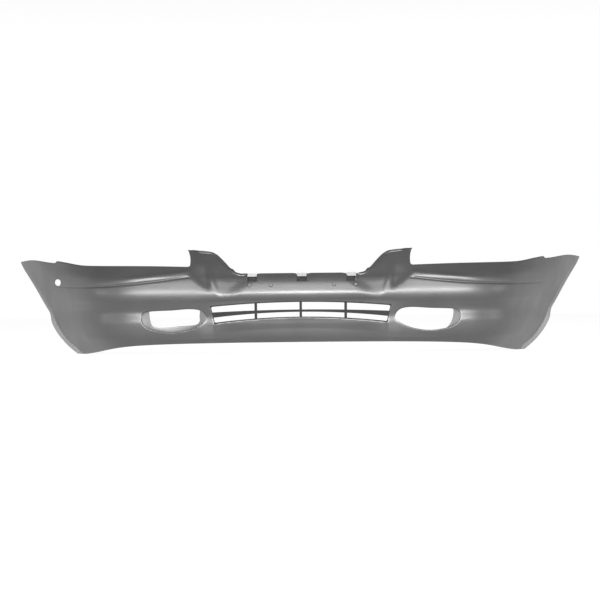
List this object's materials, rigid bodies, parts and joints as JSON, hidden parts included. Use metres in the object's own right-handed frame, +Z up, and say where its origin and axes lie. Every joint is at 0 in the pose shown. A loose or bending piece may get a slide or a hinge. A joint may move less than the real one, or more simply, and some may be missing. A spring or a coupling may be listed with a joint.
{
  "type": "bumper cover",
  "caption": "Front bumper cover of a saloon car: a thin primed skin with upright fangs, fog-lamp openings, a barred lower intake and the clips, brackets and nuts that hold it.",
  "frame": {"origin": "on the ground plane under the middle of the bounding box", "axes": "+X across the car, +Y rearward from the nose, +Z up"},
  "size_m": [1.7632, 0.66, 0.301],
  "materials": {
    "primed_skin": "grey primer, semi-gloss",
    "primed_grille": "grey primer",
    "primed_sleeve": "grey primer, bare plastic inside",
    "clip_steel": "pale zinc",
    "coated_strip": "black dip-coated steel",
    "spring_steel": "dark phosphate",
    "black_nylon": "moulded nylon"
  },
  "bodies": {
    "cover": {"fascia": "primed_skin", "intake_grille": "primed_grille", "fog_sleeve_left": "primed_sleeve", "fog_sleeve_right": "primed_sleeve", "grille_clip_left": "clip_steel", "grille_clip_centre": "clip_steel", "grille_clip_right": "clip_steel", "top_retainer": "coated_strip", "fender_bracket_left": "coated_strip", "fender_bracket_right": "coated_strip", "plate_plugs": "primed_skin", "undertray_nuts": "spring_steel", "arch_nuts_left": "spring_steel", "arch_nuts_right": "spring_steel", "rivet_body_retainer_left": "black_nylon", "rivet_body_retainer_right": "black_nylon", "rivet_body_wing_inner_left": "black_nylon", "rivet_body_wing_inner_right": "black_nylon", "rivet_body_wing_outer_left": "black_nylon", "rivet_body_wing_outer_right": "black_nylon"},
    "pin_retainer_left": {"rivet_pin_retainer_left": "black_nylon"},
    "pin_retainer_right": {"rivet_pin_retainer_right": "black_nylon"},
    "pin_wing_inner_left": {"rivet_pin_wing_inner_left": "black_nylon"},
    "pin_wing_inner_right": {"rivet_pin_wing_inner_right": "black_nylon"},
    "pin_wing_outer_left": {"rivet_pin_wing_outer_left": "black_nylon"},
    "pin_wing_outer_right": {"rivet_pin_wing_outer_right": "black_nylon"}
  },
  "joints": [
    {"name": "retainer_left_pin_slide", "type": "slide", "parent": "cover", "child": "pin_retainer_left", "axis": [0, 0, 1], "range_m": [0, 0.006]},
    {"name": "retainer_right_pin_slide", "type": "slide", "parent": "cover", "child": "pin_retainer_right", "axis": [0, 0, 1], "range_m": [0, 0.006]},
    {"name": "wing_inner_left_pin_slide", "type": "slide", "parent": "cover", "child": "pin_wing_inner_left", "axis": [0, 0, 1], "range_m": [0, 0.006]},
    {"name": "wing_inner_right_pin_slide", "type": "slide", "parent": "cover", "child": "pin_wing_inner_right", "axis": [0, 0, 1], "range_m": [0, 0.006]},
    {"name": "wing_outer_left_pin_slide", "type": "slide", "parent": "cover", "child": "pin_wing_outer_left", "axis": [0, 0, 1], "range_m": [0, 0.006]},
    {"name": "wing_outer_right_pin_slide", "type": "slide", "parent": "cover", "child": "pin_wing_outer_right", "axis": [0, 0, 1], "range_m": [0, 0.006]}
  ]
}
